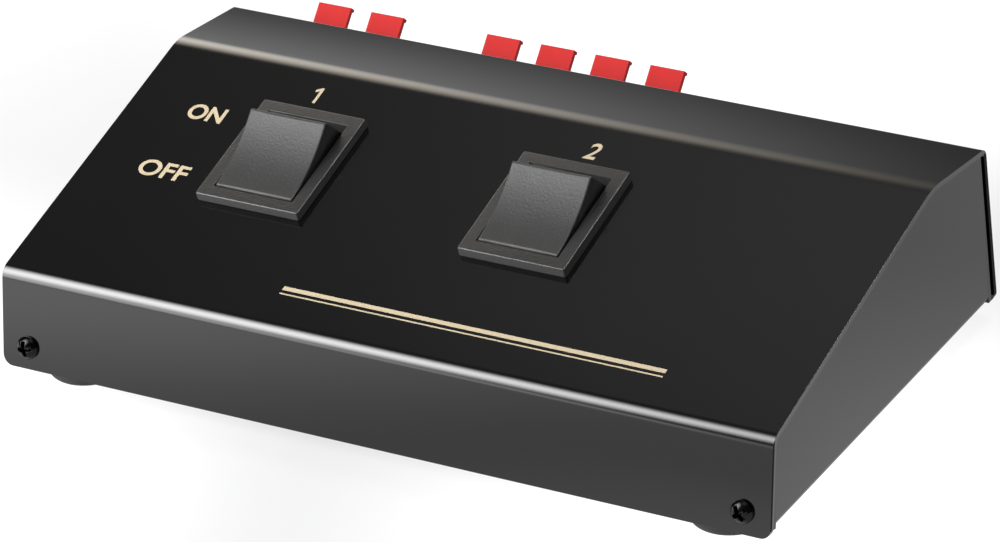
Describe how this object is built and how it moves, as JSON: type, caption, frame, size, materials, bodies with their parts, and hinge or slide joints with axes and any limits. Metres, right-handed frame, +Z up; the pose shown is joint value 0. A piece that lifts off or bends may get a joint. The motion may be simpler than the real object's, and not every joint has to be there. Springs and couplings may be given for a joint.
{
  "type": "speaker selector switch",
  "caption": "Sloping sheet steel desk box with rocker switches on top and spring wire terminals on its back, for switching pairs of speakers on and off.",
  "frame": {"origin": "on the surface that the feet rest on, below the middle of the box", "axes": "+X to the right along the width, +Y from the front lip to the back with the terminals, +Z up"},
  "size_m": [0.152, 0.0946, 0.0377],
  "materials": {
    "case_paint": "satin black baked enamel on sheet steel",
    "black_screw": "glossy black oxide",
    "foot_rubber": "matt black rubber",
    "zinc_steel": "bright zinc plate",
    "switch_housing": "fine grained black nylon",
    "rocker_plastic": "fine grained black nylon",
    "block_plastic": "moulded black polystyrene",
    "red_lever": "moulded red plastic",
    "black_lever": "moulded black plastic",
    "spring_steel": "bare spring steel",
    "plunger_nylon": "natural nylon",
    "contact_brass": "plain brass strip",
    "black_wire": "black sleeve",
    "white_wire": "white sleeve",
    "red_wire": "red sleeve"
  },
  "bodies": {
    "case": {"cover": "case_paint", "base": "case_paint", "front_cover_screws": "black_screw", "rear_cover_screws": "black_screw", "foot_front_left": "foot_rubber", "foot_front_right": "foot_rubber", "foot_rear_left": "foot_rubber", "foot_rear_right": "foot_rubber", "foot_screws": "zinc_steel", "foot_nuts": "zinc_steel", "switch_1_housing": "switch_housing", "switch_1_terminals": "contact_brass", "switch_2_housing": "switch_housing", "switch_2_terminals": "contact_brass", "terminal_block_screws": "zinc_steel", "terminal_block_nuts": "zinc_steel", "input_terminal_block": "block_plastic", "input_tags": "contact_brass", "input_clamp_springs": "spring_steel", "output_terminal_block": "block_plastic", "output_tags": "contact_brass", "output_clamp_springs": "spring_steel", "wire_feed_left": "red_wire", "wire_link_left": "white_wire", "wire_output_a_left": "red_wire", "wire_output_b_left": "red_wire", "wire_return_left": "black_wire", "wire_return_link_left": "black_wire", "wire_feed_right": "red_wire", "wire_link_right": "white_wire", "wire_output_a_right": "red_wire", "wire_output_b_right": "red_wire", "wire_return_right": "black_wire", "wire_return_link_right": "black_wire"},
    "rocker_1": {"rocker_1": "rocker_plastic", "switch_1_plungers": "plunger_nylon", "switch_1_springs": "spring_steel"},
    "contacts_1": {"switch_1_contact_levers": "contact_brass"},
    "rocker_2": {"rocker_2": "rocker_plastic", "switch_2_plungers": "plunger_nylon", "switch_2_springs": "spring_steel"},
    "contacts_2": {"switch_2_contact_levers": "contact_brass"},
    "input_lever_lower_1": {"input_lever_lower_1": "black_lever"},
    "input_lever_lower_2": {"input_lever_lower_2": "black_lever"},
    "input_lever_upper_1": {"input_lever_upper_1": "red_lever"},
    "input_lever_upper_2": {"input_lever_upper_2": "red_lever"},
    "output_lever_lower_1": {"output_lever_lower_1": "black_lever"},
    "output_lever_lower_2": {"output_lever_lower_2": "black_lever"},
    "output_lever_lower_3": {"output_lever_lower_3": "black_lever"},
    "output_lever_lower_4": {"output_lever_lower_4": "black_lever"},
    "output_lever_upper_1": {"output_lever_upper_1": "red_lever"},
    "output_lever_upper_2": {"output_lever_upper_2": "red_lever"},
    "output_lever_upper_3": {"output_lever_upper_3": "red_lever"},
    "output_lever_upper_4": {"output_lever_upper_4": "red_lever"}
  },
  "joints": [
    {"name": "rocker_1_press", "type": "hinge", "parent": "case", "child": "rocker_1", "pos_m": [-0.0395, -0.00609, 0.02725], "axis": [1, 0, 0], "range_deg": [-35.6, 0]},
    {"name": "contacts_1_tilt", "type": "hinge", "parent": "case", "child": "contacts_1", "pos_m": [-0.0395, -0.00449, 0.02131], "axis": [1, 0, 0], "range_deg": [0, 20]},
    {"name": "rocker_2_press", "type": "hinge", "parent": "case", "child": "rocker_2", "pos_m": [0.01365, -0.00609, 0.02725], "axis": [1, 0, 0], "range_deg": [-35.6, 0]},
    {"name": "contacts_2_tilt", "type": "hinge", "parent": "case", "child": "contacts_2", "pos_m": [0.01365, -0.00449, 0.02131], "axis": [1, 0, 0], "range_deg": [0, 20]},
    {"name": "input_lever_lower_1_press", "type": "hinge", "parent": "case", "child": "input_lever_lower_1", "pos_m": [-0.06062, 0.03992, 0.01401], "axis": [1, 0, 0], "range_deg": [-20, 0], "stiffness_Nm_per_rad": 0.02, "deforming": ["input_clamp_springs"]},
    {"name": "input_lever_lower_2_press", "type": "hinge", "parent": "case", "child": "input_lever_lower_2", "pos_m": [-0.04938, 0.03992, 0.01401], "axis": [1, 0, 0], "range_deg": [-20, 0], "stiffness_Nm_per_rad": 0.02, "deforming": ["input_clamp_springs"]},
    {"name": "input_lever_upper_1_press", "type": "hinge", "parent": "case", "child": "input_lever_upper_1", "pos_m": [-0.06062, 0.03937, 0.0253], "axis": [1, 0, 0], "range_deg": [-20, 0], "stiffness_Nm_per_rad": 0.02, "deforming": ["input_clamp_springs"]},
    {"name": "input_lever_upper_2_press", "type": "hinge", "parent": "case", "child": "input_lever_upper_2", "pos_m": [-0.04938, 0.03937, 0.0253], "axis": [1, 0, 0], "range_deg": [-20, 0], "stiffness_Nm_per_rad": 0.02, "deforming": ["input_clamp_springs"]},
    {"name": "output_lever_lower_1_press", "type": "hinge", "parent": "case", "child": "output_lever_lower_1", "pos_m": [-0.02481, 0.03992, 0.01401], "axis": [1, 0, 0], "range_deg": [-20, 0], "stiffness_Nm_per_rad": 0.02, "deforming": ["output_clamp_springs"]},
    {"name": "output_lever_lower_2_press", "type": "hinge", "parent": "case", "child": "output_lever_lower_2", "pos_m": [-0.01357, 0.03992, 0.01401], "axis": [1, 0, 0], "range_deg": [-20, 0], "stiffness_Nm_per_rad": 0.02, "deforming": ["output_clamp_springs"]},
    {"name": "output_lever_lower_3_press", "type": "hinge", "parent": "case", "child": "output_lever_lower_3", "pos_m": [-0.00233, 0.03992, 0.01401], "axis": [1, 0, 0], "range_deg": [-20, 0], "stiffness_Nm_per_rad": 0.02, "deforming": ["output_clamp_springs"]},
    {"name": "output_lever_lower_4_press", "type": "hinge", "parent": "case", "child": "output_lever_lower_4", "pos_m": [0.00891, 0.03992, 0.01401], "axis": [1, 0, 0], "range_deg": [-20, 0], "stiffness_Nm_per_rad": 0.02, "deforming": ["output_clamp_springs"]},
    {"name": "output_lever_upper_1_press", "type": "hinge", "parent": "case", "child": "output_lever_upper_1", "pos_m": [-0.02481, 0.03937, 0.0253], "axis": [1, 0, 0], "range_deg": [-20, 0], "stiffness_Nm_per_rad": 0.02, "deforming": ["output_clamp_springs"]},
    {"name": "output_lever_upper_2_press", "type": "hinge", "parent": "case", "child": "output_lever_upper_2", "pos_m": [-0.01357, 0.03937, 0.0253], "axis": [1, 0, 0], "range_deg": [-20, 0], "stiffness_Nm_per_rad": 0.02, "deforming": ["output_clamp_springs"]},
    {"name": "output_lever_upper_3_press", "type": "hinge", "parent": "case", "child": "output_lever_upper_3", "pos_m": [-0.00233, 0.03937, 0.0253], "axis": [1, 0, 0], "range_deg": [-20, 0], "stiffness_Nm_per_rad": 0.02, "deforming": ["output_clamp_springs"]},
    {"name": "output_lever_upper_4_press", "type": "hinge", "parent": "case", "child": "output_lever_upper_4", "pos_m": [0.00891, 0.03937, 0.0253], "axis": [1, 0, 0], "range_deg": [-20, 0], "stiffness_Nm_per_rad": 0.02, "deforming": ["output_clamp_springs"]}
  ],
  "couplings": [
    {"joint": "contacts_1_tilt", "follows": "rocker_1_press", "ratio": -0.5617},
    {"joint": "contacts_2_tilt", "follows": "rocker_2_press", "ratio": -0.5617}
  ]
}
